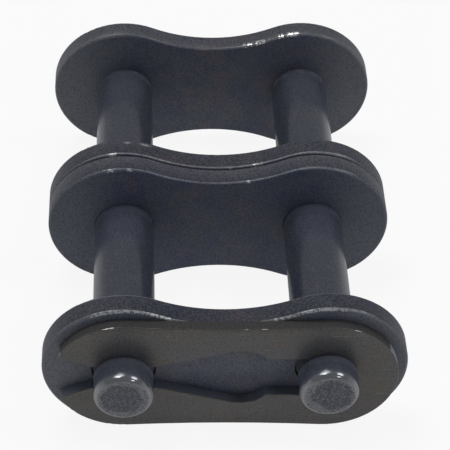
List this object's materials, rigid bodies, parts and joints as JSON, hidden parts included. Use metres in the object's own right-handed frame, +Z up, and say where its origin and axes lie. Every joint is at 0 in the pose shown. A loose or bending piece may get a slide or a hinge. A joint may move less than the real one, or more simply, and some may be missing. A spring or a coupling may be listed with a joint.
{
  "type": "two-strand roller chain connecting link",
  "caption": "Joining link for duplex roller chain: riveted pins, loose middle plates, slip-on cover plate and flat spring clip.",
  "frame": {"origin": "on the surface the link stands on, under the middle of its length and width", "axes": "+X along the chain from the left pin to the right pin, +Y along the pins from the clip side to the riveted back plate, +Z up"},
  "size_m": [0.0228, 0.0322, 0.0102],
  "materials": {
    "plate_steel": "satin blue-black oxide with fine worn flecks along the edges",
    "pin_steel": "smooth ground blue-black oxide",
    "clip_steel": "tempered spring steel, satin warm grey"
  },
  "bodies": {
    "link": {"back_plate": "plate_steel", "left_pin": "pin_steel", "right_pin": "pin_steel", "cover_plate": "plate_steel", "spring_clip": "clip_steel"},
    "rear_middle": {"rear_middle_plate": "plate_steel"},
    "front_middle": {"front_middle_plate": "plate_steel"}
  },
  "joints": [
    {"name": "rear_middle_slide", "type": "slide", "parent": "link", "child": "rear_middle", "axis": [0, 1, 0], "range_m": [0, 0.01145]},
    {"name": "front_middle_slide", "type": "slide", "parent": "link", "child": "front_middle", "axis": [0, -1, 0], "range_m": [0, 0.01145]}
  ]
}
